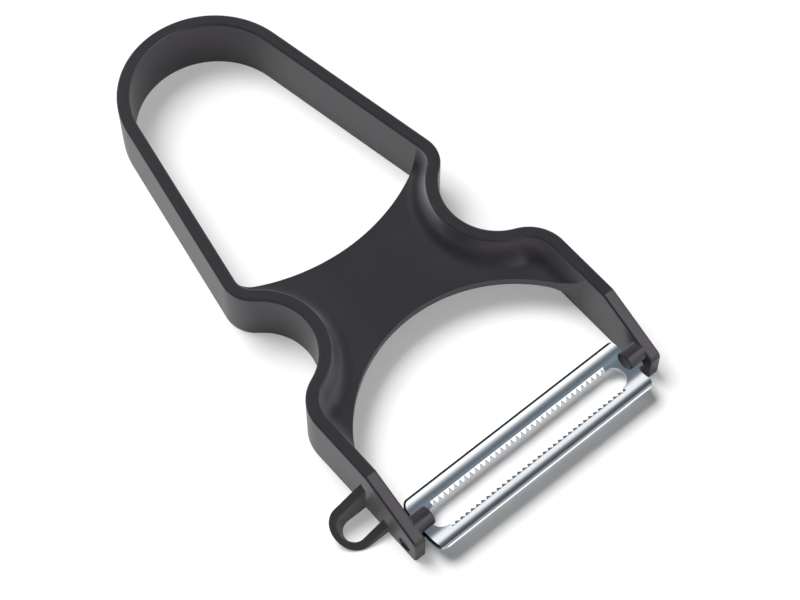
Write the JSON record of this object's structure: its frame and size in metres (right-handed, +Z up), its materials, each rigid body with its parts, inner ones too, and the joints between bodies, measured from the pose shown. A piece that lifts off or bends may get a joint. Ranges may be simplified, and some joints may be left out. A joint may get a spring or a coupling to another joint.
{
  "type": "serrated vegetable peeler",
  "caption": "Y-shaped vegetable peeler: an open plastic bow handle narrows to a waist and forks to hold a swivelling toothed steel blade, with an eye-removing loop on one arm.",
  "frame": {"origin": "underside of the bow wall, at its middle, on the plane of symmetry of bow and fork", "axes": "+Y from the blade towards the bow along the handle, +Z up through the height of the wall, +X towards the arm without the eye loop"},
  "size_m": [0.0656, 0.1126, 0.012],
  "materials": {
    "handle_plastic": "satin moulded surface, charcoal grey",
    "blade_steel": "bright polished stainless steel with ground teeth"
  },
  "bodies": {
    "handle": {"moulded_handle": "handle_plastic"},
    "blade": {"swivel_blade": "blade_steel"}
  },
  "joints": [
    {"name": "blade_swivel", "type": "hinge", "parent": "handle", "child": "blade", "pos_m": [0, -0.10563, 0.0021], "axis": [1, 0, 0], "range_deg": [-48, 33]}
  ]
}
